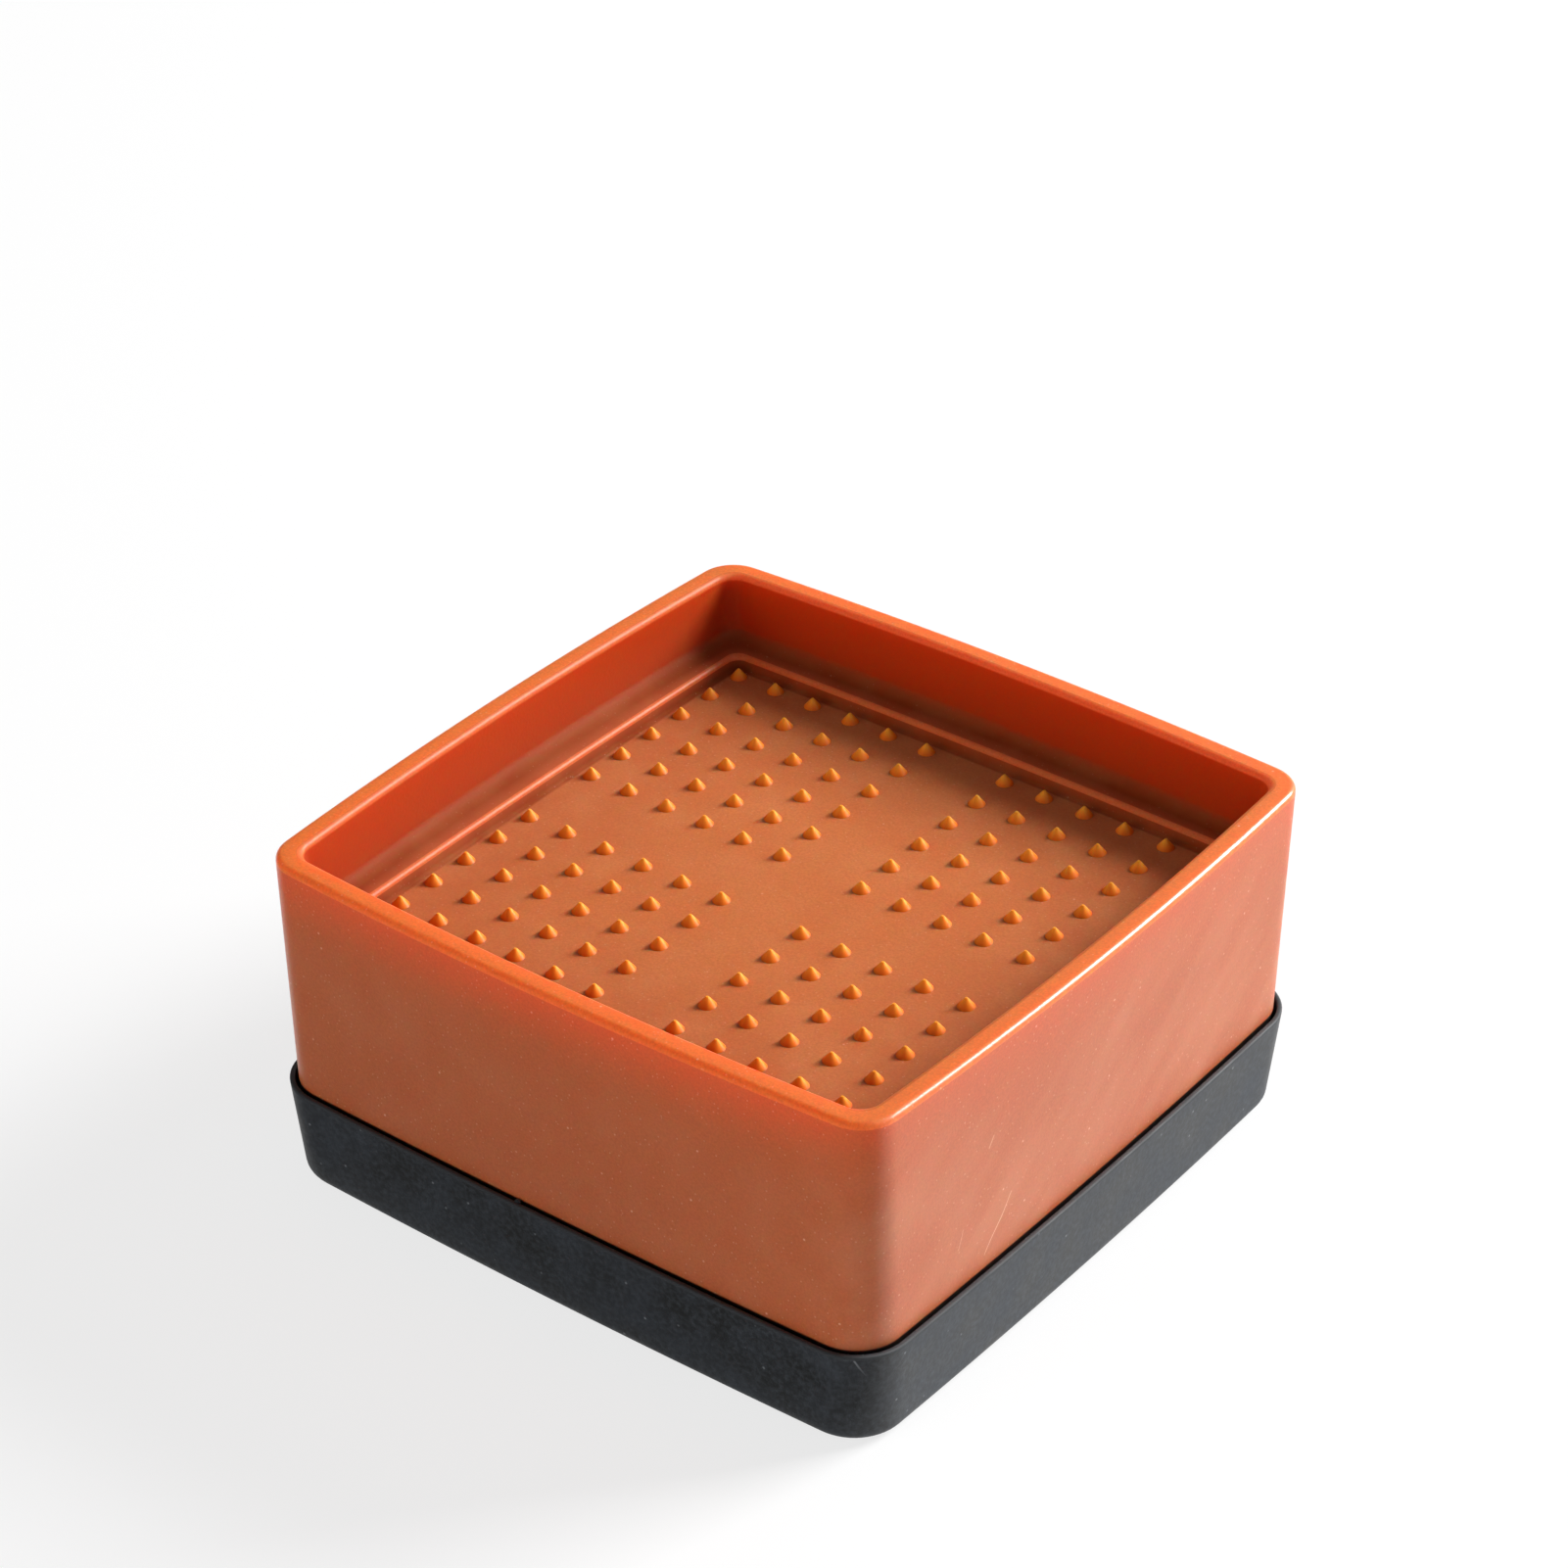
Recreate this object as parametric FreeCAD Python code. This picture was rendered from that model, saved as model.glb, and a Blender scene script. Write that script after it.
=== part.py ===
# Bed riser: a square moulded cup that the furniture leg stands in, seated in a rubber base.
# Millimetres, +Z up, origin on the floor under the middle of the riser.
import FreeCAD, Part
import os
from math import cos, pi, sin, sqrt

V = FreeCAD.Vector
UP = V(0, 0, 1)

# Heights above the floor
RIM_Z = 42.2            # top of the cup's rim
LIP_Z = 12.6            # top of the base's lip
BASE_FLOOR = 3.5        # thickness of the base under the cup

# Cup outline, which changes evenly from the rim down to the base's lip
RIM_SIDE = 82.0
RIM_RADIUS = 4.6        # vertical corners at the rim
RIM_BOW = 1.1           # how far the middle of a side stands out at the rim
WALL_LEAN = 0.3         # how far each side leans in from the rim down to the lip
SEAM_RADIUS = 5.6       # vertical corners at the lip
SEAM_BOW = 0.5
FOOT_TAPER = 1.5        # how far the part inside the base leans in below the lip

# Recess for the leg
WALL = 2.7              # wall at the rim
WALL_DRAFT = 0.4        # what the wall gains down to the ledge
LEDGE_DEPTH = 8.4       # rim to ledge
LEDGE_WIDTH = 3.2
LEDGE_BOW = 0.4
STEP_DEPTH = 1.9        # ledge to grip floor
RECESS_RADIUS = 2.6     # vertical corners of the recess
POCKET_RADIUS = 1.6     # vertical corners of the step

# Edge roundings
RIM_EDGE_OUT = 0.7
RIM_EDGE_IN = 0.55
LEDGE_FILLET = 1.4      # where the wall runs into the ledge
LEDGE_EDGE = 0.5
FLOOR_FILLET = 0.4
ROUND_BANDS = 3         # narrow bands that make up each of these roundings

# Grip cones, in four square fields with a plain cross between them
CONES_PER_FIELD = 6     # along each side of a field
CONE_MARGIN = 0.15      # outermost cones to the foot of the step
CONE_BASE = 2.1         # diameter at the floor
CONE_HEIGHT = 1.15
CONE_ROOT = 0.2         # how far a cone is rooted in the floor
CONE_SIDES = 10         # flat sides that stand for the round of a cone

# Base
SEAT_GAP = 0.4          # open groove between the cup and the lip
LIP_WALL = 0.65         # lip at its top
BASE_TAPER = 1.1        # how far each side leans in from the lip to the floor
BASE_RADIUS = 6.2       # vertical corners at the floor
LIP_EDGE = 0.25
BASE_EDGE = 1.5         # rounding round the bottom


def bowed_square(side, radius, bow, z):
    """Closed outline of a square with rounded corners and sides that stand out by bow."""
    half = side / 2
    reach = half - radius
    side_radius = (reach ** 2 + bow ** 2) / (2 * bow)
    side_centre = half + bow - side_radius
    gap = side_radius - radius
    corner = (side_centre + sqrt(2 * gap ** 2 - side_centre ** 2)) / 2
    touch_x = corner * side_radius / gap
    touch_y = side_centre + (corner - side_centre) * side_radius / gap
    tip = corner + radius / sqrt(2)
    side_arc = Part.Arc(V(touch_x, -touch_y, z), V(0, -half - bow, z), V(-touch_x, -touch_y, z))
    corner_arc = Part.Arc(V(touch_y, -touch_x, z), V(tip, -tip, z), V(touch_x, -touch_y, z))
    edges = []
    for quarter in range(4):
        for arc in (corner_arc, side_arc):
            edge = arc.toShape()
            edge.rotate(V(0, 0, 0), UP, -90 * quarter)
            edges.append(edge)
    return Part.Wire(edges)


def stack(outlines):
    """Solid through outlines that lie one above the other, with straight walls between."""
    return Part.makeLoft(outlines, True, True)


def quarter_round(radius):
    """Steps of a rounding as pairs: how far round its foot, and how far up it."""
    steps = []
    for band in range(ROUND_BANDS + 1):
        angle = band * pi / 2 / ROUND_BANDS
        steps.append((radius * (1 - cos(angle)), radius * sin(angle)))
    return steps


def along_height(low, high, z, low_z, high_z):
    """A size at height z that runs evenly from low to high."""
    return low + (high - low) * (z - low_z) / (high_z - low_z)


def cup_side(z):
    return along_height(RIM_SIDE - 2 * WALL_LEAN, RIM_SIDE, z, LIP_Z, RIM_Z)


def cup_radius(z):
    return along_height(SEAM_RADIUS, RIM_RADIUS, z, LIP_Z, RIM_Z)


def cup_bow(z):
    return along_height(SEAM_BOW, RIM_BOW, z, LIP_Z, RIM_Z)


def cup_outline(z, offset=0.0):
    """The cup's outer outline at height z above the lip, moved outwards by offset."""
    return bowed_square(cup_side(z) + 2 * offset, cup_radius(z) + offset, cup_bow(z), z)


def foot_outline(offset=0.0):
    """The cup's outline where it stands in the base, moved outwards by offset."""
    inset = FOOT_TAPER - offset
    side = cup_side(LIP_Z) - 2 * inset
    return bowed_square(side, cup_radius(LIP_Z) - inset, cup_bow(LIP_Z), BASE_FLOOR)


def cup_block():
    """The cup as a solid block, with a tapered foot and its outer rim edge rounded."""
    outlines = [foot_outline(), cup_outline(LIP_Z)]
    for inset, rise in quarter_round(RIM_EDGE_OUT):
        outlines.append(cup_outline(RIM_Z - RIM_EDGE_OUT + rise, -inset))
    return stack(outlines)


def recess_outline(z, ledge_z, widen=0.0):
    """The inner face of the wall at height z, moved outwards by widen."""
    wall = along_height(WALL + WALL_DRAFT, WALL, z, ledge_z, RIM_Z)
    return bowed_square(cup_side(z) - 2 * wall + 2 * widen, RECESS_RADIUS, cup_bow(z), z)


def leg_recess(ledge_z):
    """Room above the ledge: a soft fillet at its foot, a drafted wall and a rounded mouth."""
    outlines = []
    for inset, rise in reversed(quarter_round(LEDGE_FILLET)):
        outlines.append(recess_outline(ledge_z + LEDGE_FILLET - rise, ledge_z, -inset))
    for widen, rise in quarter_round(RIM_EDGE_IN):
        outlines.append(recess_outline(RIM_Z - RIM_EDGE_IN + rise, ledge_z, widen))
    outlines.append(recess_outline(RIM_Z + RIM_EDGE_IN, ledge_z, RIM_EDGE_IN))
    return stack(outlines)


def pocket_side(ledge_z):
    return cup_side(ledge_z) - 2 * (WALL + WALL_DRAFT + LEDGE_WIDTH)


def grip_pocket(ledge_z):
    """Shallow square pocket inside the ledge, which the cones stand in."""
    side = pocket_side(ledge_z)
    floor_z = ledge_z - STEP_DEPTH
    levels = []
    for inset, rise in reversed(quarter_round(FLOOR_FILLET)):
        levels.append((side - 2 * inset, floor_z + FLOOR_FILLET - rise))
    for widen, rise in quarter_round(LEDGE_EDGE):
        levels.append((side + 2 * widen, ledge_z - LEDGE_EDGE + rise))
    levels.append((side + 2 * LEDGE_EDGE, ledge_z + LEDGE_EDGE))
    return stack([bowed_square(width, POCKET_RADIUS, LEDGE_BOW, z) for width, z in levels])


def grip_cone(x, y, floor_z):
    """One sharp cone, which widens evenly down to its root below the floor."""
    radius = CONE_BASE / 2 * (CONE_HEIGHT + CONE_ROOT) / CONE_HEIGHT
    ring = []
    for side in range(CONE_SIDES + 1):
        angle = 2 * pi * side / CONE_SIDES
        ring.append(V(x + radius * cos(angle), y + radius * sin(angle), floor_z - CONE_ROOT))
    tip = Part.Vertex(V(x, y, floor_z + CONE_HEIGHT))
    return stack([Part.makePolygon(ring), tip])


def grip_cones(ledge_z):
    """Four square fields of cones, with one row and one column left out between them."""
    reach = pocket_side(ledge_z) / 2 - FLOOR_FILLET - CONE_MARGIN - CONE_BASE / 2
    places = [n * reach / CONES_PER_FIELD for n in range(-CONES_PER_FIELD, CONES_PER_FIELD + 1) if n]
    return [grip_cone(x, y, ledge_z - STEP_DEPTH) for x in places for y in places]


def make_cup():
    """One moulding: solid block below, open recess above with a ledge and a grip floor."""
    ledge_z = RIM_Z - LEDGE_DEPTH
    hollow = leg_recess(ledge_z).fuse(grip_pocket(ledge_z))
    return cup_block().cut(hollow).fuse(grip_cones(ledge_z))


def base_outline(z, offset=0.0):
    """The base's outer outline at height z, moved outwards by offset."""
    proud = SEAT_GAP + LIP_WALL
    lip_side = cup_side(LIP_Z) + 2 * proud
    side = along_height(lip_side - 2 * BASE_TAPER, lip_side, z, 0, LIP_Z)
    radius = along_height(BASE_RADIUS, cup_radius(LIP_Z) + proud, z, 0, LIP_Z)
    return bowed_square(side + 2 * offset, radius + offset, cup_bow(LIP_Z), z)


def make_base():
    """One moulding: a tapered rubber tray whose thin lip stands just clear of the cup."""
    outlines = []
    for inset, rise in reversed(quarter_round(BASE_EDGE)):
        outlines.append(base_outline(BASE_EDGE - rise, -inset))
    for inset, rise in quarter_round(LIP_EDGE):
        outlines.append(base_outline(LIP_Z - LIP_EDGE + rise, -inset))
    above = LIP_Z + SEAT_GAP
    seat = [foot_outline(SEAT_GAP), cup_outline(LIP_Z, SEAT_GAP), cup_outline(above, SEAT_GAP)]
    return stack(outlines).cut(stack(seat))


def main():
    os.makedirs("parts", exist_ok=True)
    make_cup().exportStep("parts/cup.step")
    make_base().exportStep("parts/base.step")


main()
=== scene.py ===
import math
import bpy
import bmesh
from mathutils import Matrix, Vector


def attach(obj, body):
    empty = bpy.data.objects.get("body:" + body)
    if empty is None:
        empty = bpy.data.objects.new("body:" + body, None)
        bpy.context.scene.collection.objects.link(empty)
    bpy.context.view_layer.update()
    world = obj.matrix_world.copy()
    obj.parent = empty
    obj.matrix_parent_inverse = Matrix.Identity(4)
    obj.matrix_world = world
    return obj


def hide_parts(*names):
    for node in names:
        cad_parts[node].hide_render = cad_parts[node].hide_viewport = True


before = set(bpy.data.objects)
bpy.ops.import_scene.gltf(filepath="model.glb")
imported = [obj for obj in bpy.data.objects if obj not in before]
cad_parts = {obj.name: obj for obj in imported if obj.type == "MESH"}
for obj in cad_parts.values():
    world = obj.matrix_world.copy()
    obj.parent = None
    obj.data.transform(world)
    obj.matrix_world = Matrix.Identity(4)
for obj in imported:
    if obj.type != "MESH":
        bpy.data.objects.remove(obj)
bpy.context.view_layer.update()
scene = bpy.context.scene
MM = 0.001


# The cup: one moulding of orange silicone rubber, satin and slightly see-through. It is solid
# below and has a shallow square recess above, with a soft fillet, a narrow ledge and a step
# down to the grip floor. It stands in the black base and nothing else holds it.
RIM_Z, LIP_Z, FOOT_Z = 42.2, 12.6, 3.5
RIM_SIDE, WALL_LEAN, FOOT_TAPER = 82.0, 0.3, 1.5
RIM_RADIUS, SEAM_RADIUS = 4.6, 5.6
RIM_BOW, SEAM_BOW = 1.1, 0.5
WALL, WALL_DRAFT = 2.7, 0.4
LEDGE_Z, GRIP_Z = 33.8, 31.9
LEDGE_WIDTH, LEDGE_BOW = 3.2, 0.4
RECESS_RADIUS, POCKET_RADIUS = 2.6, 1.6
RIM_EDGE_OUT, RIM_EDGE_IN = 0.7, 0.55
LEDGE_FILLET, LEDGE_EDGE, GRIP_FILLET = 1.4, 0.5, 0.4
SIDE_STEPS, CORNER_STEPS, ROUND_STEPS, WALL_STEPS = 72, 14, 7, 24
EDGE_BLEND = 0.1        # narrow band beside a rounding, which keeps the wall next to it flat
GROOVE_SHADE_TOP = 0.25      # how far above the lip the painted shade in the groove ends
THIN_LAP = 4.0          # how far below the ledge the wall begins to let light through
LEDGE_THIN = 0.4        # how thin the ledge looks
WALL_SHADE_AND_DULL = 0.3         # how much duller, and darker with painted shade, the wall of the recess is at its foot
FLOOR_EDGE_SHADE = 0.35       # how much painted shade, with a duller finish, the grip floor has at its edge
SHADE_REACH = 0.6        # share of the way to the middle at which that painted shade ends


def bowed_square(side, radius, bow, z):
    """Ring of points round a square with rounded corners and sides that stand out by bow."""
    half = side / 2
    reach = half - radius
    side_radius = (reach ** 2 + bow ** 2) / (2 * bow)
    side_centre = half + bow - side_radius
    gap = side_radius - radius
    corner = (side_centre + math.sqrt(2 * gap ** 2 - side_centre ** 2)) / 2
    swing = math.asin(corner / gap)
    quarter = []
    for step in range(SIDE_STEPS):
        turn = swing - 2 * swing * step / SIDE_STEPS
        quarter.append((side_radius * math.sin(turn), -side_centre - side_radius * math.cos(turn)))
    for step in range(CORNER_STEPS):
        turn = swing + (math.pi / 2 - 2 * swing) * step / CORNER_STEPS
        quarter.append((-corner - radius * math.sin(turn), -corner - radius * math.cos(turn)))
    ring = []
    for turns in range(4):
        for x, y in quarter:
            for _ in range(turns):
                x, y = y, -x
            ring.append(Vector((x, y, z)) * MM)
    return ring


def between(first, last, shares):
    """Rows of numbers between two rows, at the given shares of the way."""
    return [tuple(start + (end - start) * share for start, end in zip(first, last)) for share in shares]


def quarter_round(radius):
    """Steps of a rounding as pairs: how far round its foot, and how far up it."""
    turns = [math.pi / 2 * step / ROUND_STEPS for step in range(ROUND_STEPS + 1)]
    return [(radius * (1 - math.cos(turn)), radius * math.sin(turn)) for turn in turns]


def new_object(name, data):
    """An object for a mesh, lamp or camera, in the scene and at its origin."""
    made = bpy.data.objects.new(name, data)
    scene.collection.objects.link(made)
    return made


def ring_skin(name, rows):
    """Closed skin through rings from the underside up, over and in, with a pole at each end.

    Each row ends in two painted amounts. Thin says how much light comes through the rubber; the
    materials also paint it redder for that light. Polish is 1 where it shines and is painted lighter,
    as a highlight on edges and a glow on the outer rim; it goes down to -1 where it is duller and painted
    with shade."""
    skin = bmesh.new()
    paints = [skin.verts.layers.float.new(paint) for paint in ("thin", "polish")]
    rings = []
    for side, radius, bow, z, *amounts in rows:
        ring = [skin.verts.new(point) for point in bowed_square(side, radius, bow, z)]
        for vert in ring:
            for paint, amount in zip(paints, amounts):
                vert[paint] = amount
        rings.append(ring)
    for low, high in zip(rings, rings[1:]):
        for here in range(len(low)):
            skin.faces.new((low[here - 1], high[here - 1], high[here], low[here]))
    for ring, z, order in ((rings[0], rows[0][3], 1), (rings[-1], rows[-1][3], -1)):
        pole = skin.verts.new((0, 0, z * MM))
        for here in range(len(ring)):
            skin.faces.new((pole, ring[here - 1], ring[here])[::order])
    skin.normal_update()
    mesh = bpy.data.meshes.new(name)
    skin.to_mesh(mesh)
    skin.free()
    mesh.shade_smooth()
    return new_object(name, mesh)


def cup_row(z, offset=0.0, thin=0.0, polish=0.0):
    """Outside of the cup above the lip."""
    share = (z - LIP_Z) / (RIM_Z - LIP_Z)
    side = RIM_SIDE - 2 * WALL_LEAN * (1 - share) + 2 * offset
    radius = SEAM_RADIUS + (RIM_RADIUS - SEAM_RADIUS) * share + offset
    return side, radius, SEAM_BOW + (RIM_BOW - SEAM_BOW) * share, z, thin, polish


def foot_row(offset=0.0):
    """Foot of the cup, where it stands on the base, painted dark as shade in the groove."""
    return cup_row(LIP_Z, offset - FOOT_TAPER)[:3] + (FOOT_Z, 0.0, -1.0)


def recess_row(z, widen=0.0, thin=1.0, polish=0.0):
    """Inside of the wall above the ledge."""
    wall = WALL + WALL_DRAFT * (RIM_Z - z) / (RIM_Z - LEDGE_Z) - widen
    side, _, bow = cup_row(z, -wall)[:3]
    return side, RECESS_RADIUS, bow, z, thin, polish


def pocket_row(z, widen=0.0, thin=LEDGE_THIN, polish=0.0):
    """Edge of the ledge and the step below it."""
    side = cup_row(LEDGE_Z, widen - LEDGE_WIDTH - WALL_DRAFT - WALL)[0]
    return side, POCKET_RADIUS, LEDGE_BOW, z, thin, polish


# Outside, from the foot up and over the rim; up to just above the lip it is painted dark as shade in the
# groove
cup_rows = between(foot_row(), cup_row(LIP_Z, polish=-1.0), (0.0, 0.02, 0.5, 0.98, 1.0))
cup_rows.append(cup_row(LIP_Z + GROOVE_SHADE_TOP))
wall_top = RIM_Z - RIM_EDGE_OUT - EDGE_BLEND
# The wall is thinner towards the rim: light goes deeper there, and the material paints it redder as a
# glow
for step in range(1, WALL_STEPS + 1):
    z = LIP_Z + (wall_top - LIP_Z) * step / WALL_STEPS
    thin = max(0.0, (z - LEDGE_Z + THIN_LAP) / (RIM_Z - LEDGE_Z + THIN_LAP))
    cup_rows.append(cup_row(z, thin=thin))
# The rim's outer rounding and its top shine, and the material paints them a brighter orange as a glow
for inset, rise in quarter_round(RIM_EDGE_OUT):
    cup_rows.append(cup_row(RIM_Z - RIM_EDGE_OUT + rise, -inset, thin=1.0, polish=1.0))
mouth = recess_row(RIM_Z, RIM_EDGE_IN, polish=1.0)
cup_rows += between(cup_rows[-1], mouth, (0.04, 0.35, 0.65, 0.96, 1.0))
bands_outside = len(cup_rows) - 1

# Recess, from the rim down to the ledge; the rounded inner edge of the rim is painted lighter as a
# highlight
for widen, rise in quarter_round(RIM_EDGE_IN)[-2::-1]:
    cup_rows.append(recess_row(RIM_Z - RIM_EDGE_IN + rise, widen, polish=1.0))
wall_head, wall_foot = RIM_Z - RIM_EDGE_IN, LEDGE_Z + LEDGE_FILLET
# Down the wall the polish falls: it grows duller and is painted darker as shade towards its foot
for share in (0.04, 0.25, 0.5, 0.75, 0.98):
    cup_rows.append(recess_row(wall_head + (wall_foot - wall_head) * share, polish=-WALL_SHADE_AND_DULL * share))
# The fillet is painted darker still as shade, and duller, down to its foot
for inset, rise in quarter_round(LEDGE_FILLET):
    share = rise / LEDGE_FILLET
    shade_and_dull = WALL_SHADE_AND_DULL + (1 - WALL_SHADE_AND_DULL) * share
    cup_rows.append(recess_row(wall_foot - rise, -inset, thin=1.0 - 0.5 * share, polish=-shade_and_dull))

# Ledge, step and grip floor: the ledge and the step are painted darker as shade, the ledge's rounded edge
# lighter as a highlight
cup_rows += between(cup_rows[-1], pocket_row(LEDGE_Z, LEDGE_EDGE, polish=-0.5), (0.15, 0.5, 0.95))
for widen, rise in quarter_round(LEDGE_EDGE)[::-1]:
    cup_rows.append(pocket_row(LEDGE_Z - LEDGE_EDGE + rise, widen, polish=1.0))
cup_rows.append(pocket_row(LEDGE_Z - LEDGE_EDGE - EDGE_BLEND, polish=-0.8))
for inset, rise in quarter_round(GRIP_FILLET):
    thin = LEDGE_THIN * (1 - rise / GRIP_FILLET)
    cup_rows.append(pocket_row(GRIP_Z + GRIP_FILLET - rise, -inset, thin, polish=-1.0))
floor_edge = cup_rows[-1][:3]
# The grip floor is painted darker as shade towards its edge
for share in (0.01, 0.1, 0.3, 0.5, 0.7, 0.9):
    edge_shade = FLOOR_EDGE_SHADE * max(0.0, 1 - share / SHADE_REACH)
    cup_rows.append(tuple(size * (1 - share) for size in floor_edge) + (GRIP_Z, 0.0, -edge_shade))
cup = ring_skin("cup_silicone", cup_rows)

# The skin's faces come in bands, and the fan of the underside follows the last band between rings
underside = len(cup_rows) - 1
for polygon in cup.data.polygons:
    band = polygon.index // (4 * (SIDE_STEPS + CORNER_STEPS))
    polygon.material_index = int(band >= bands_outside and band != underside)


def linear(hex_colour):
    """An sRGB hex colour as the linear colour that sockets take."""
    parts = [int(hex_colour[start:start + 2], 16) / 255 for start in (1, 3, 5)]
    parts = [part / 12.92 if part <= 0.04045 else ((part + 0.055) / 1.055) ** 2.4 for part in parts]
    return (*parts, 1.0)


def add(tree, kind, inputs=None, **settings):
    """A node with its settings, and its inputs by name or number, as values or sockets to link."""
    made = tree.nodes.new(kind)
    for name, value in settings.items():
        setattr(made, name, value)
    for name, value in (inputs or {}).items():
        if isinstance(value, bpy.types.NodeSocket):
            tree.links.new(value, made.inputs[name])
        else:
            made.inputs[name].default_value = value
    return made


def new_material(name):
    """An empty material, its node tree, and places on its piece in metres."""
    material = bpy.data.materials.new(name)
    material.use_nodes = True
    material.node_tree.nodes.clear()
    return material, material.node_tree, add(material.node_tree, "ShaderNodeTexCoord").outputs["Object"]


def laid_over(tree, colour, layers):
    """A colour with others laid over it in turn, each by its own factor."""
    for factor, hex_colour in layers:
        colour = add(tree, "ShaderNodeMix", {
            "Factor": factor, 6: colour, 7: linear(hex_colour)}, data_type="RGBA").outputs[2]
    return colour


def patches(tree, place, size, detail, low, high, strength):
    """Soft patches of a size in mm, as a factor that rises between two levels of the noise."""
    noise = add(tree, "ShaderNodeTexNoise", {"Vector": place, "Scale": 1 / (size * MM), "Detail": detail})
    return add(tree, "ShaderNodeMapRange", {
        "Value": noise.outputs[0], "From Min": low, "From Max": high, "To Max": strength}).outputs[0]


def relief(tree, place, size, detail, strength):
    """The faint relief of the mould's surface, with grains of a size in mm, as a normal."""
    noise = add(tree, "ShaderNodeTexNoise", {"Vector": place, "Scale": 1 / (size * MM), "Detail": detail})
    return add(tree, "ShaderNodeBump", {
        "Height": noise.outputs[0], "Strength": strength, "Distance": 0.05 * MM}).outputs[0]


def specks(tree, place, spacing, size, share, strength):
    """Round soft-edged specks of dust in a share of the cells of a pattern, as a mixing factor."""
    cell = add(tree, "ShaderNodeTexVoronoi", {"Vector": place, "Scale": 1 / (spacing * MM)})
    spot = add(tree, "ShaderNodeMapRange", {
        "Value": cell.outputs["Distance"], "From Min": 0.5 * size / spacing,
        "From Max": 1.3 * size / spacing, "To Min": strength, "To Max": 0.0})
    lot = add(tree, "ShaderNodeTexWhiteNoise", {"Vector": cell.outputs["Position"]})
    drawn = add(tree, "ShaderNodeMath", {0: lot.outputs["Value"], 1: share}, operation="LESS_THAN")
    return add(tree, "ShaderNodeMath", {
        0: spot.outputs[0], 1: drawn.outputs[0]}, operation="MULTIPLY").outputs[0]


def scratch(tree, place, squeeze, start, end, width, strength):
    """A thin line between two points, squeezed in depth so that it lies on a bowed side."""
    start, end = Vector(start) * squeeze * MM, Vector(end) * squeeze * MM
    line = end - start
    flat = add(tree, "ShaderNodeVectorMath", {0: place, 1: squeeze}, operation="MULTIPLY")
    away = add(tree, "ShaderNodeVectorMath", {0: flat.outputs[0], 1: start}, operation="SUBTRACT")
    along = add(tree, "ShaderNodeVectorMath", {
        0: away.outputs[0], 1: line / line.length_squared}, operation="DOT_PRODUCT")
    along = add(tree, "ShaderNodeClamp", {"Value": along.outputs["Value"]})
    foot = add(tree, "ShaderNodeVectorMath", {0: line, "Scale": along.outputs[0]}, operation="SCALE")
    gap = add(tree, "ShaderNodeVectorMath", {
        0: away.outputs[0], 1: foot.outputs[0]}, operation="DISTANCE")
    return add(tree, "ShaderNodeMapRange", {
        "Value": gap.outputs["Value"], "From Min": 0.4 * width * MM, "From Max": 1.4 * width * MM,
        "To Min": strength, "To Max": 0.0}).outputs[0]


# Silicone rubber as moulded outside: satin, and light goes a few millimetres in, so that the thin
# wall glows red while the solid body looks browner; the thin wall is also painted redder as a glow.
# The trimmed rim is smoother and catches a sharp line of light, and it is painted a brighter orange
# as a glow. Handling left slanting smears and scratches on the right side, where the smears also
# stand in for a painted sheen; dust clings all over, and the foot in the groove is painted near black
# as shade. The grain is drawn coarser than it is, so that it shows.
SMEAR_SIZE, SMEAR_STRETCH, SMEAR_SLANT = 5.0, 3.6, 40.0     # mm, times as long, degrees
SMEAR_FROM, SMEAR_TO = 30.0, 40.0       # X where smears and their painted sheen begin to show more, and show fully
SCRATCH_WOBBLE, WOBBLE_LENGTH = 0.5, 5.0
SIDE_SQUEEZE = Vector((0.1, 1, 1))      # depth on the right side counts a tenth
# Each scratch: its two ends, its width and its strength
SCRATCHES = (((41.5, -16.6, 20.4), (41.5, -20.6, 14.6), 0.08, 0.6),
             ((41.5, -20.0, 30.0), (41.5, -20.8, 28.6), 0.07, 0.45),
             ((41.5, -24.6, 20.2), (41.5, -25.6, 18.0), 0.07, 0.4))
outside, tree, place = new_material("silicone_outside_satin")
thin = add(tree, "ShaderNodeAttribute", attribute_name="thin").outputs["Fac"]
polish = add(tree, "ShaderNodeAttribute", attribute_name="polish").outputs["Fac"]
# The rim's rounding and top: smoother, and painted a brighter orange as a glow
rim = add(tree, "ShaderNodeClamp", {"Value": polish}).outputs[0]
# Painted shade: the foot of the cup in the base's groove is painted near black
groove_shade = add(tree, "ShaderNodeMath", {
    0: polish, 1: -1.0}, operation="MULTIPLY", use_clamp=True).outputs[0]
fine = patches(tree, place, size=0.28, detail=2.0, low=0.3, high=0.7, strength=0.28)

slant = add(tree, "ShaderNodeMapping", {
    "Vector": place, "Rotation": (math.radians(SMEAR_SLANT), 0, 0),
    "Scale": (1, SMEAR_STRETCH, 1)}, vector_type="TEXTURE").outputs[0]
# Pale smears from handling, which also stand in for a painted sheen on the lit right side
smear_and_sheen = patches(tree, slant, SMEAR_SIZE, detail=3.0, low=0.38, high=0.66, strength=0.27)
solid = add(tree, "ShaderNodeMath", {0: 1.0, 1: thin}, operation="SUBTRACT").outputs[0]
across = add(tree, "ShaderNodeSeparateXYZ", {0: place}).outputs["X"]
right_side = add(tree, "ShaderNodeMapRange", {
    "Value": across, "From Min": SMEAR_FROM * MM, "From Max": SMEAR_TO * MM, "To Min": 0.35}).outputs[0]
for factor in (solid, right_side):
    smear_and_sheen = add(tree, "ShaderNodeMath", {0: smear_and_sheen, 1: factor}, operation="MULTIPLY").outputs[0]

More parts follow.
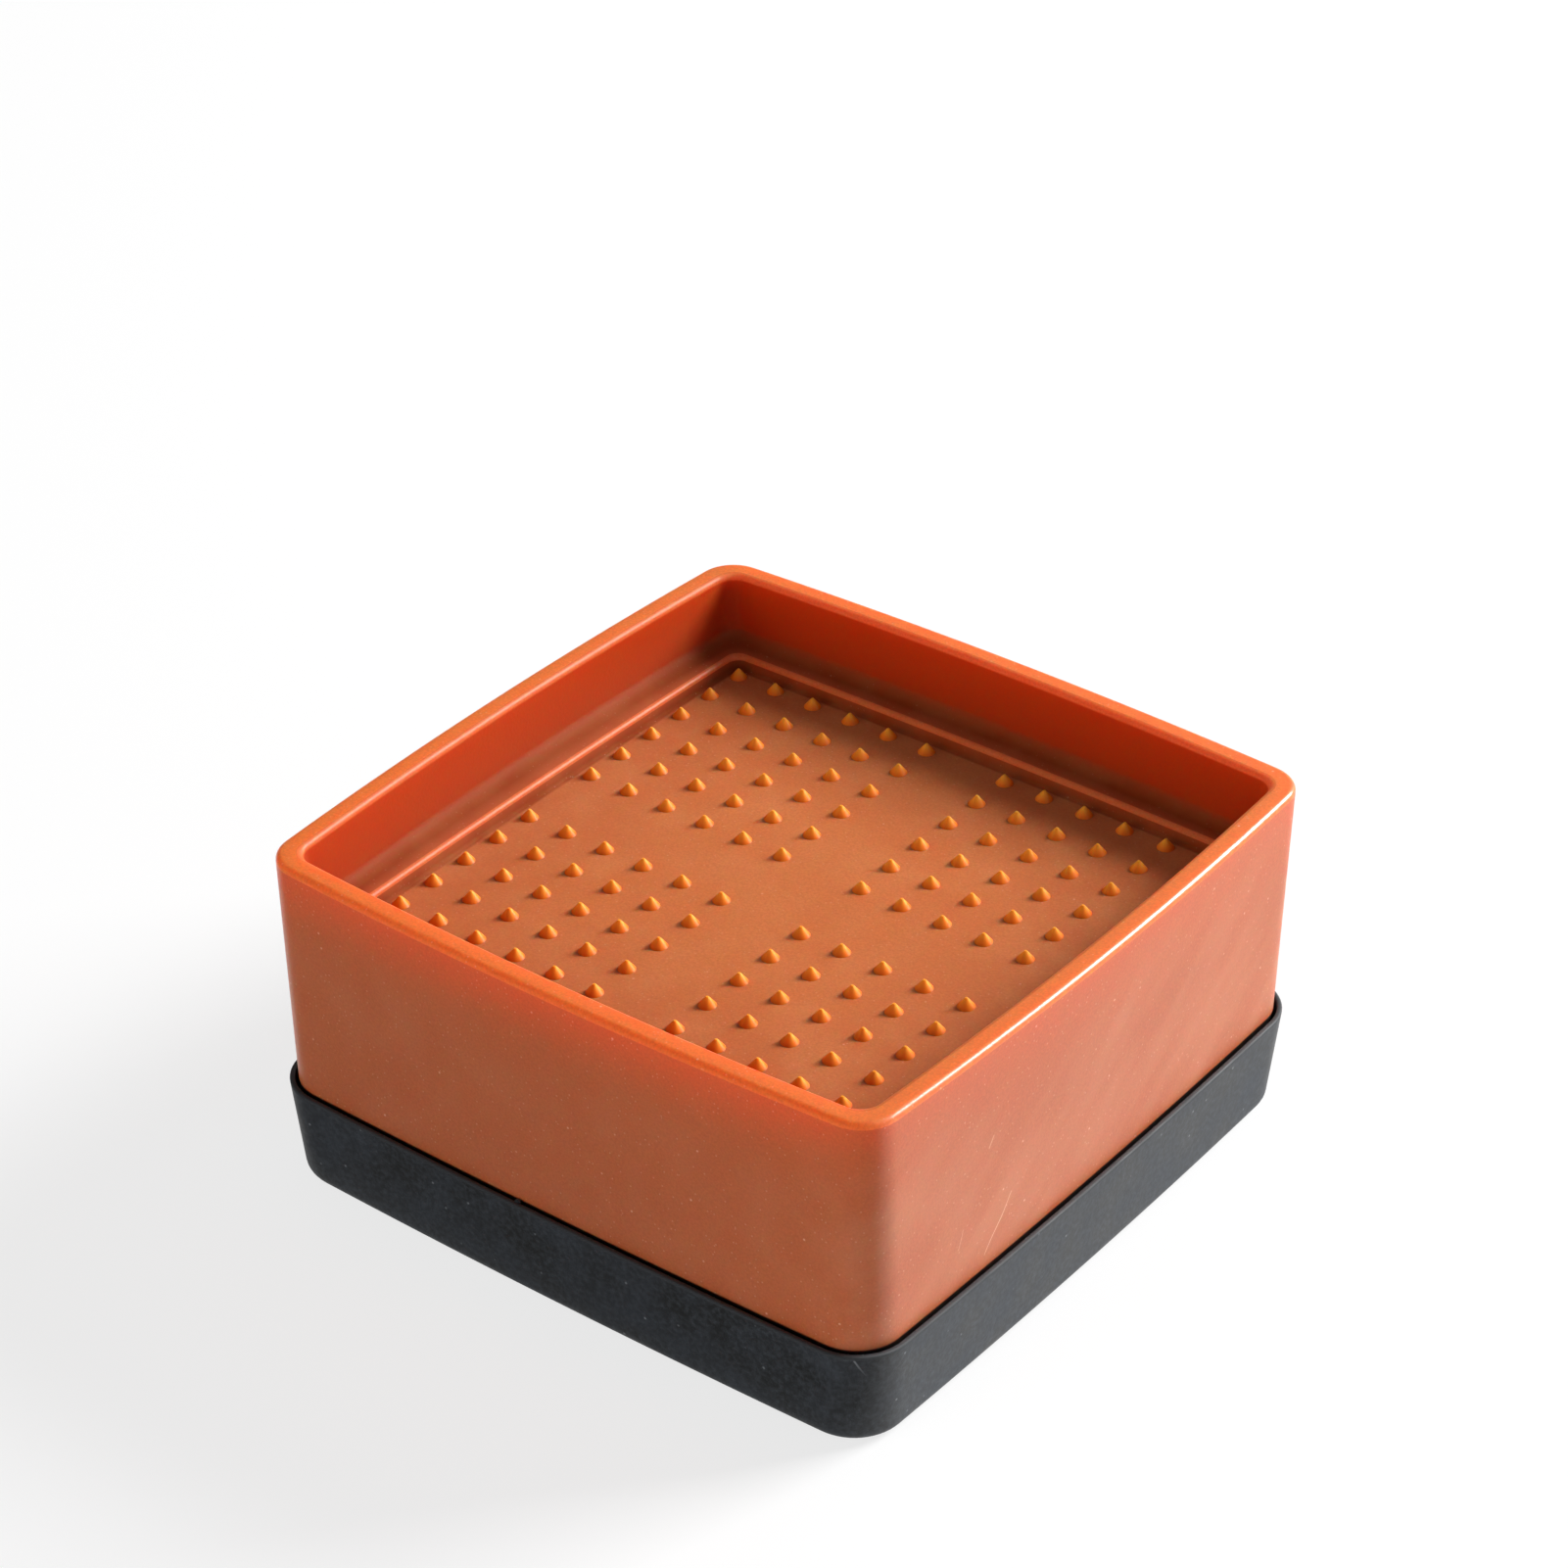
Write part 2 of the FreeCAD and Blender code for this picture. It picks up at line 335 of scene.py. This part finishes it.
wobble = add(tree, "ShaderNodeTexNoise", {
    "Vector": place, "Scale": 1 / (WOBBLE_LENGTH * MM), "Detail": 1.0}, normalize=False)
bent = add(tree, "ShaderNodeVectorMath", {
    0: wobble.outputs["Color"], 1: (SCRATCH_WOBBLE * MM,) * 3, 2: place},
    operation="MULTIPLY_ADD").outputs[0]
marks = [specks(tree, place, spacing=2.2, size=0.14, share=0.5, strength=0.6)]
marks += [scratch(tree, bent, SIDE_SQUEEZE, *line) for line in SCRATCHES]
pale = specks(tree, place, spacing=0.6, size=0.1, share=0.4, strength=0.3)
for mark in marks:
    pale = add(tree, "ShaderNodeMath", {0: pale, 1: mark}, operation="MAXIMUM").outputs[0]

# Painted light in this colour: glow on the thin wall and the rim, partly sheen in the smears, and shade
# on the foot in the groove
body = laid_over(tree, linear("#C2673B"), [
    (thin, "#CB622F"), (rim, "#EC7E34"), (fine, "#8C3C1C"), (smear_and_sheen, "#D89470"), (pale, "#F4D0B4"),
    (groove_shade, "#120A07")])
satin = add(tree, "ShaderNodeMapRange", {"Value": rim, "To Min": 0.4, "To Max": 0.3})
glow = add(tree, "ShaderNodeMath", {0: rim, 1: -0.5, 2: thin}, operation="MULTIPLY_ADD")
depth = add(tree, "ShaderNodeMapRange", {
    "Value": glow.outputs[0], "To Min": 0.4 * MM, "To Max": 9.0 * MM})
shader = add(tree, "ShaderNodeBsdfPrincipled", {
    "Base Color": body, "Roughness": satin.outputs[0], "IOR": 1.66, "Subsurface Weight": 0.9,
    "Subsurface Radius": (1.0, 0.08, 0.03), "Subsurface Scale": depth.outputs[0],
    "Normal": relief(tree, place, size=0.5, detail=4.0, strength=0.3)})
add(tree, "ShaderNodeOutputMaterial", {"Surface": shader.outputs[0]})
cup.data.materials.append(outside)

# The same silicone against the mould's core: duller, brown on the grip floor, and painted darker as
# shade at the foot of the wall, in the fillets, on the ledge and the step and towards the floor's
# edge. The thin wall is painted deep red for the light it loses through its outside, and the rounded
# edges of the rim and the ledge are painted a lighter orange as a highlight. Its grain is drawn
# coarser than it is too.
recess, tree, place = new_material("silicone_recess_dull")
thin = add(tree, "ShaderNodeAttribute", attribute_name="thin").outputs["Fac"]
polish = add(tree, "ShaderNodeAttribute", attribute_name="polish").outputs["Fac"]
# Painted shade: where polish is below zero the colour goes dark brown, and the finish duller
shade_and_dull = add(tree, "ShaderNodeMath", {
    0: polish, 1: -1.0}, operation="MULTIPLY", use_clamp=True).outputs[0]
# Painted highlight: the rounded edges of the rim and the ledge are painted a lighter orange
edge = add(tree, "ShaderNodeClamp", {"Value": polish}).outputs[0]
fine = patches(tree, place, size=0.25, detail=2.0, low=0.3, high=0.7, strength=0.25)
cloud = patches(tree, place, size=7.0, detail=3.0, low=0.4, high=0.7, strength=0.22)
pale = add(tree, "ShaderNodeMath", {
    0: specks(tree, place, spacing=0.6, size=0.1, share=0.4, strength=0.25),
    1: specks(tree, place, spacing=3.0, size=0.14, share=0.3, strength=0.5)},
    operation="MAXIMUM").outputs[0]
solid = add(tree, "ShaderNodeMath", {0: 1.0, 1: thin}, operation="SUBTRACT").outputs[0]
cloud, pale = [add(tree, "ShaderNodeMath", {0: factor, 1: solid}, operation="MULTIPLY").outputs[0]
               for factor in (cloud, pale)]
# Painted light in this colour: deep red on the thin wall for the light it loses, shade where polish is
# below zero, and a highlight on the rounded edges
body = laid_over(tree, linear("#D07641"), [
    (thin, "#BA3C06"), (shade_and_dull, "#8E380A"), (edge, "#D8743E"), (cloud, "#E0945E"), (fine, "#8C3C1C"),
    (pale, "#E8B090")])
satin = add(tree, "ShaderNodeMapRange", {"Value": shade_and_dull, "To Min": 0.42, "To Max": 1.0})
depth = add(tree, "ShaderNodeMapRange", {"Value": thin, "To Min": 0.15 * MM, "To Max": 6.0 * MM})
shader = add(tree, "ShaderNodeBsdfPrincipled", {
    "Base Color": body, "Roughness": satin.outputs[0], "Specular IOR Level": 0.3,
    "Subsurface Weight": 0.9, "Subsurface Radius": (1.0, 0.08, 0.03),
    "Subsurface Scale": depth.outputs[0],
    "Normal": relief(tree, place, size=0.4, detail=4.0, strength=0.4)})
add(tree, "ShaderNodeOutputMaterial", {"Surface": shader.outputs[0]})
cup.data.materials.append(recess)
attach(cup, "root")
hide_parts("cup")


# The grip cones: 144 small sharp cones, moulded in one with the cup's floor in four square
# fields. They bite into the foot of the leg. Their tips are a little blunt.
CONES_PER_FIELD, CONE_PITCH = 6, 5.502
CONE_BASE, CONE_HEIGHT, CONE_TIP = 2.1, 1.12, 0.3
CONE_SIDES, CONE_BANDS = 18, 5

field = bpy.data.node_groups.new("grip_cones", "GeometryNodeTree")
field.is_modifier = True
sizes = {"Pitch": CONE_PITCH * MM, "Foot radius": CONE_BASE / 2 * MM, "Tip radius": CONE_TIP / 2 * MM,
         "Height": CONE_HEIGHT * MM, "Floor height": GRIP_Z * MM}
wanted = [(name, "Float") for name in sizes] + [("Cones per field", "Int"), ("Material", "Material")]
keys = {}
for name, kind in wanted:
    socket = field.interface.new_socket(name, in_out="INPUT", socket_type="NodeSocket" + kind)
    keys[name] = socket.identifier
field.interface.new_socket("Geometry", in_out="OUTPUT", socket_type="NodeSocketGeometry")

# A square lattice of points, less its middle row and column
given = add(field, "NodeGroupInput").outputs
steps = add(field, "ShaderNodeMath", {
    0: given["Cones per field"], 1: 2.0}, operation="MULTIPLY").outputs[0]
rows = add(field, "ShaderNodeMath", {0: steps, 1: 1.0}, operation="ADD").outputs[0]
span = add(field, "ShaderNodeMath", {0: steps, 1: given["Pitch"]}, operation="MULTIPLY").outputs[0]
lattice = add(field, "GeometryNodeMeshGrid", {
    "Size X": span, "Size Y": span, "Vertices X": rows, "Vertices Y": rows})
spot = add(field, "ShaderNodeSeparateXYZ", {0: add(field, "GeometryNodeInputPosition").outputs[0]})
from_x = add(field, "ShaderNodeMath", {0: spot.outputs["X"]}, operation="ABSOLUTE")
from_y = add(field, "ShaderNodeMath", {0: spot.outputs["Y"]}, operation="ABSOLUTE")
nearest = add(field, "ShaderNodeMath", {0: from_x.outputs[0], 1: from_y.outputs[0]}, operation="MINIMUM")
half_pitch = add(field, "ShaderNodeMath", {0: given["Pitch"], 1: 0.5}, operation="MULTIPLY")
on_cross = add(field, "ShaderNodeMath", {
    0: nearest.outputs[0], 1: half_pitch.outputs[0]}, operation="LESS_THAN")
spots = add(field, "GeometryNodeDeleteGeometry", {
    "Geometry": lattice.outputs["Mesh"], "Selection": on_cross.outputs[0]}, domain="POINT")

# A cone on each point
cone = add(field, "GeometryNodeMeshCone", {
    "Vertices": CONE_SIDES, "Side Segments": CONE_BANDS, "Radius Top": given["Tip radius"],
    "Radius Bottom": given["Foot radius"], "Depth": given["Height"]})
placed = add(field, "GeometryNodeInstanceOnPoints", {
    "Points": spots.outputs[0], "Instance": cone.outputs["Mesh"]})
lift = add(field, "ShaderNodeCombineXYZ", {"Z": given["Floor height"]})
lifted = add(field, "GeometryNodeTransform", {
    "Geometry": placed.outputs[0], "Translation": lift.outputs[0]})
real = add(field, "GeometryNodeRealizeInstances", {"Geometry": lifted.outputs[0]})
coated = add(field, "GeometryNodeSetMaterial", {
    "Geometry": real.outputs[0], "Material": given["Material"]})
add(field, "NodeGroupOutput", {"Geometry": coated.outputs[0]})

# The same silicone, painted lighter from its dark foot up to the tips as a glow, for the light that fills
# each thin tip.
cone_silicone, tree, place = new_material("silicone_moulded_thin")
height = add(tree, "ShaderNodeSeparateXYZ", {0: place}).outputs["Z"]
# Painted glow, growing from the floor up the cone
rise = add(tree, "ShaderNodeMapRange", {
    "Value": height, "From Min": GRIP_Z * MM, "From Max": (GRIP_Z + 0.75 * CONE_HEIGHT) * MM}).outputs[0]
shader = add(tree, "ShaderNodeBsdfPrincipled", {
    "Base Color": laid_over(tree, linear("#FF690A"), [(rise, "#FFA432")]), "Roughness": 0.4,
    "Specular IOR Level": 0.2, "Subsurface Weight": 0.7, "Subsurface Radius": (1.0, 0.5, 0.2),
    "Subsurface Scale": 0.7 * MM})
add(tree, "ShaderNodeOutputMaterial", {"Surface": shader.outputs[0]})

maker = new_object("cone_maker", bpy.data.meshes.new("cone_maker"))
modifier = maker.modifiers.new("grip_cones", "NODES")
modifier.node_group = field
for name, value in sizes.items():
    modifier[keys[name]] = value
modifier[keys["Cones per field"]] = CONES_PER_FIELD
modifier[keys["Material"]] = cone_silicone
cone_mesh = bpy.data.meshes.new_from_object(maker.evaluated_get(bpy.context.evaluated_depsgraph_get()))
cone_mesh.name = "grip_cones"
bpy.data.objects.remove(maker)
cone_mesh.shade_smooth()
cone_mesh.set_sharp_from_angle(angle=math.radians(50))
cones = new_object("grip_cones", cone_mesh)
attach(cones, "root")
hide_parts("cup")


# The base: one moulding of soft black rubber, a tapered tray with a rounded bottom. Its thin
# lip stands just clear of the cup and leaves a dark groove all round.
SEAT_GAP, LIP_WALL = 0.4, 0.64
BASE_TAPER, BASE_RADIUS = 1.1, 6.2
LIP_EDGE, LIP_EDGE_IN, BASE_EDGE = 0.25, 0.12, 1.5


def base_row(z, offset=0.0, polish=0.0):
    """Outside of the base."""
    lip_side, lip_radius, bow = cup_row(LIP_Z, SEAT_GAP + LIP_WALL)[:3]
    share = z / LIP_Z
    side = lip_side - 2 * BASE_TAPER * (1 - share) + 2 * offset
    radius = BASE_RADIUS + (lip_radius - BASE_RADIUS) * share + offset
    return side, radius, bow, z, 0.0, polish


base_rows = []
for inset, rise in reversed(quarter_round(BASE_EDGE)):
    base_rows.append(base_row(BASE_EDGE - rise, -inset))
for share in (0.02, 0.25, 0.5, 0.75, 0.98):
    base_rows.append(base_row(BASE_EDGE + (LIP_Z - LIP_EDGE - BASE_EDGE) * share))
# The lip's rounding shines, and the material paints it greyer as a highlight
for inset, rise in quarter_round(LIP_EDGE):
    base_rows.append(base_row(LIP_Z - LIP_EDGE + rise, -inset, polish=1.0))
for drop, out in ((0.0, 1.0), (0.25, 0.25), (1.0, 0.0)):
    base_rows.append(cup_row(LIP_Z - drop * LIP_EDGE_IN, SEAT_GAP + out * LIP_EDGE_IN))
base_rows += between(base_rows[-1], foot_row(SEAT_GAP), (0.5, 0.98, 1.0))
base = ring_skin("base_rubber", base_rows)

# Moulded black rubber: matt, with a faint even grain that is drawn coarser than it is, a little
# grey bloom and dust, a lip edge painted greyer as a highlight, and one pale scratch by the front corner.
BASE_SQUEEZE = Vector((1, 0.1, 1))      # depth on the left side counts a tenth
BASE_SCRATCH = ((38.9, -41.5, 12.1), (39.9, -41.0, 9.4), 0.12, 0.9)
rubber, tree, place = new_material("rubber_moulded_matt")
polish = add(tree, "ShaderNodeAttribute", attribute_name="polish").outputs["Fac"]
bloom = patches(tree, place, size=7.0, detail=5.0, low=0.38, high=0.68, strength=1.0)
fine = patches(tree, place, size=0.6, detail=3.0, low=0.4, high=0.75, strength=0.5)
pale = add(tree, "ShaderNodeMath", {
    0: specks(tree, place, spacing=1.4, size=0.16, share=0.2, strength=0.6),
    1: scratch(tree, place, BASE_SQUEEZE, *BASE_SCRATCH)}, operation="MAXIMUM").outputs[0]
# The lip's rounding is painted greyer, a painted highlight
shade = laid_over(tree, linear("#141618"), [
    (bloom, "#2C3138"), (fine, "#454B52"), (polish, "#34373A"), (pale, "#8C9094")])
matt = add(tree, "ShaderNodeMapRange", {"Value": bloom, "To Min": 0.44, "To Max": 0.6})
matt = add(tree, "ShaderNodeMath", {0: polish, 1: 0.2, 2: matt.outputs[0]}, operation="MULTIPLY_ADD")
shader = add(tree, "ShaderNodeBsdfPrincipled", {
    "Base Color": shade, "Roughness": matt.outputs[0], "IOR": 1.6,
    "Normal": relief(tree, place, size=0.3, detail=3.0, strength=0.3)})
add(tree, "ShaderNodeOutputMaterial", {"Surface": shader.outputs[0]})
base.data.materials.append(rubber)
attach(base, "root")
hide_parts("base")


# The crumb of flash: a scrap of the base's own rubber that moulding left on the lip. It droops
# a little and bridges the groove on the left side.
FLASH_AT = Vector((-5.2, -41.5, 12.62))
FLASH_LENGTH, FLASH_WIDTH, FLASH_HEIGHT = 0.45, 0.3, 0.28
FLASH_LEAN, FLASH_DROOP = 0.1, 0.12

crumb = bmesh.new()
bmesh.ops.create_icosphere(crumb, subdivisions=2, radius=1.0)
for vert in crumb.verts:
    x, y, z = vert.co
    shape = (FLASH_LENGTH * x + FLASH_LEAN * z, FLASH_WIDTH * y, FLASH_HEIGHT * z - FLASH_DROOP * x * x)
    vert.co = (Vector(shape) + FLASH_AT) * MM
flash_mesh = bpy.data.meshes.new("lip_flash")
crumb.to_mesh(flash_mesh)
crumb.free()
flash_mesh.shade_smooth()
flash_mesh.materials.append(rubber)
flash = new_object("lip_flash", flash_mesh)
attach(flash, "root")
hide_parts("base")


# The studio: a white paper floor, a big soft lamp on the right, a weak one in front and an even
# sky. Places and sizes are in metres.
FLOOR_HALF, FLOOR_Z = 3.0, -0.0002
PAPER_SEEN = 0.75       # how much of plain white the camera sees over the shaded paper
DARK_TO_Y, BRIGHT_FROM_Y, DARK_SHEEN = -0.044, -0.034, 0.15
LAMP_AIM, LAMP_SIZE = (0, 0, 0.02), 0.6
KEY_AT, KEY_WATTS = (0.62, 1.073, 0.765), 36.4
FILL_AT, FILL_WATTS = (-0.37, -0.8, 0.21), 2.8
GLOSS_FROM = (0.62, 0.72, 0.3)
CAMERA_AT, CAMERA_DOWN, CAMERA_TURN = (0.24875, -0.32737, 0.30992), 32.652, 37.345

floor_mesh = bpy.data.meshes.new("studio_floor")
corners = [(x * FLOOR_HALF, y * FLOOR_HALF, FLOOR_Z) for x, y in ((-1, -1), (1, -1), (1, 1), (-1, 1))]
floor_mesh.from_pydata(corners, [], [(0, 1, 2, 3)])
floor = new_object("studio_floor", floor_mesh)

# White paper, a little shaded by the object. What mirrors it sees the dark side of the room in
# front of the object and the bright side beyond.
white, tree, place = new_material("paper_white")
path = add(tree, "ShaderNodeLightPath").outputs
side = add(tree, "ShaderNodeSeparateXYZ", {0: place}).outputs["Y"]
sweep = add(tree, "ShaderNodeMapRange", {
    "Value": side, "From Min": DARK_TO_Y, "From Max": BRIGHT_FROM_Y, "To Min": DARK_SHEEN}).outputs[0]
paper = add(tree, "ShaderNodeBsdfDiffuse", {"Color": linear("#F4F4F4")}).outputs[0]
seen = add(tree, "ShaderNodeEmission", {"Color": linear("#FFFFFF"), "Strength": 1.0}).outputs[0]
mirrored = add(tree, "ShaderNodeEmission", {"Color": linear("#FFFFFF"), "Strength": sweep}).outputs[0]
to_camera = add(tree, "ShaderNodeMath", {0: path["Is Camera Ray"], 1: PAPER_SEEN}, operation="MULTIPLY")
surface = add(tree, "ShaderNodeMixShader", {0: to_camera.outputs[0], 1: paper, 2: seen})
gloss = add(tree, "ShaderNodeMath", {
    0: path["Is Glossy Ray"], 1: path["Is Transmission Ray"]}, operation="MAXIMUM")
surface = add(tree, "ShaderNodeMixShader", {0: gloss.outputs[0], 1: surface.outputs[0], 2: mirrored})
add(tree, "ShaderNodeOutputMaterial", {"Surface": surface.outputs[0]})
floor_mesh.materials.append(white)


def soft_lamp(name, place, watts):
    """A square soft box that looks at the object."""
    lamp = bpy.data.lights.new(name, "AREA")
    lamp.shape = "SQUARE"
    lamp.size = LAMP_SIZE
    lamp.energy = watts
    holder = new_object(name, lamp)
    holder.location = place
    holder.rotation_euler = (Vector(LAMP_AIM) - Vector(place)).to_track_quat("-Z", "Y").to_euler()
    return holder


soft_lamp("key", KEY_AT, KEY_WATTS)
fill = soft_lamp("fill", FILL_AT, FILL_WATTS)
fill.visible_glossy = False

# The sky lights the object evenly, more from the sides than from above, shows as white, and is
# mirrored bright only on the side of the big lamp.
world = bpy.data.worlds.new("studio")
scene.world = world
world.use_nodes = True
tree = world.node_tree
tree.nodes.clear()
path = add(tree, "ShaderNodeLightPath").outputs
way = add(tree, "ShaderNodeTexCoord").outputs["Generated"]
height = add(tree, "ShaderNodeSeparateXYZ", {0: way}).outputs["Z"]
lit = add(tree, "ShaderNodeMapRange", {
    "Value": height, "From Min": 0.0, "From Max": 0.7, "To Min": 0.58, "To Max": 0.15}).outputs[0]
side = add(tree, "ShaderNodeVectorMath", {0: way, 1: GLOSS_FROM}, operation="DOT_PRODUCT")
shown = add(tree, "ShaderNodeMapRange", {
    "Value": side.outputs["Value"], "From Min": 0.2, "From Max": 0.9, "To Min": 0.06}).outputs[0]
light = add(tree, "ShaderNodeMix", {"Factor": path["Is Glossy Ray"], 2: lit, 3: shown}).outputs[0]
light = add(tree, "ShaderNodeMix", {"Factor": path["Is Camera Ray"], 2: light, 3: 1.0}).outputs[0]
sky = add(tree, "ShaderNodeBackground", {"Color": linear("#FFFFFF"), "Strength": light})
add(tree, "ShaderNodeOutputWorld", {"Surface": sky.outputs[0]})

camera_data = bpy.data.cameras.new("camera")
camera_data.sensor_width = 36.0
camera_data.lens = 103.4
camera = new_object("camera", camera_data)
camera.location = CAMERA_AT
camera.rotation_euler = (math.radians(90 - CAMERA_DOWN), 0, math.radians(CAMERA_TURN))
scene.camera = camera
scene.view_settings.view_transform = "Standard"
